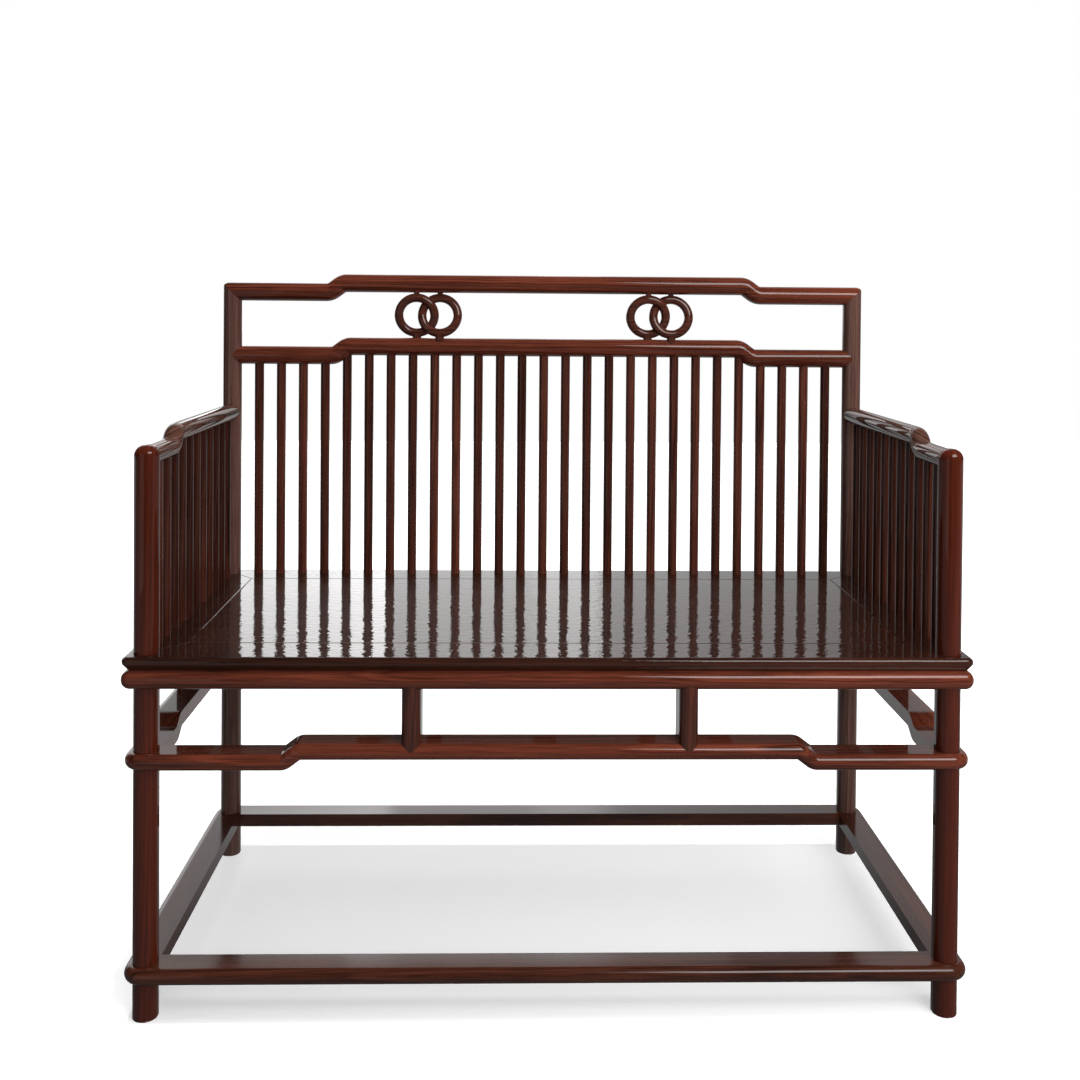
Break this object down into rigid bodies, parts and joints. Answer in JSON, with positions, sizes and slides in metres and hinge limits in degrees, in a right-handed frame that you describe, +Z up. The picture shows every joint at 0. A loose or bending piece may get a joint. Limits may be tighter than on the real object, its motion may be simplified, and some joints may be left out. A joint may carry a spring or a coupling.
{
  "type": "bench",
  "caption": "Hardwood bench with a low comb-like back and arms of round spindles, stepped humpback rails, interlaced rings, a framed panel seat and wrap-around stretchers.",
  "frame": {"origin": "on the floor, under the middle of the bench", "axes": "+X to the sitter's left as seen from the front, which is the picture's right; +Y from the front to the back; +Z up"},
  "size_m": [1.057, 0.488, 0.9384],
  "materials": {
    "post_wood": "gloss lacquer over reddish-brown hardwood",
    "rail_wood": "gloss lacquer over dark reddish-brown hardwood",
    "spindle_wood": "gloss lacquer over dark brown hardwood",
    "seat_wood": "polished gloss lacquer over dark brown hardwood",
    "batten_wood": "thin matt lacquer over dark brown hardwood"
  },
  "bodies": {
    "root": {"front_left_leg": "post_wood", "front_right_leg": "post_wood", "rear_left_leg": "post_wood", "rear_right_leg": "post_wood", "crest_rail": "rail_wood", "middle_back_rail": "rail_wood", "left_double_ring": "spindle_wood", "right_double_ring": "spindle_wood", "back_spindles": "spindle_wood", "left_arm_rail": "rail_wood", "right_arm_rail": "rail_wood", "left_arm_spindles": "spindle_wood", "right_arm_spindles": "spindle_wood", "front_seat_rail": "seat_wood", "rear_seat_rail": "seat_wood", "left_seat_rail": "seat_wood", "right_seat_rail": "seat_wood", "seat_panel": "seat_wood", "left_batten": "batten_wood", "middle_batten": "batten_wood", "right_batten": "batten_wood", "front_moulding": "rail_wood", "rear_moulding": "rail_wood", "left_moulding": "rail_wood", "right_moulding": "rail_wood", "front_hump_stretcher": "rail_wood", "rear_hump_stretcher": "rail_wood", "left_hump_stretcher": "rail_wood", "right_hump_stretcher": "rail_wood", "front_left_strut": "spindle_wood", "front_right_strut": "spindle_wood", "rear_left_strut": "spindle_wood", "rear_right_strut": "spindle_wood", "left_side_strut": "spindle_wood", "right_side_strut": "spindle_wood", "front_low_stretcher": "rail_wood", "rear_low_stretcher": "rail_wood", "left_low_stretcher": "rail_wood", "right_low_stretcher": "rail_wood"}
  },
  "joints": []
}
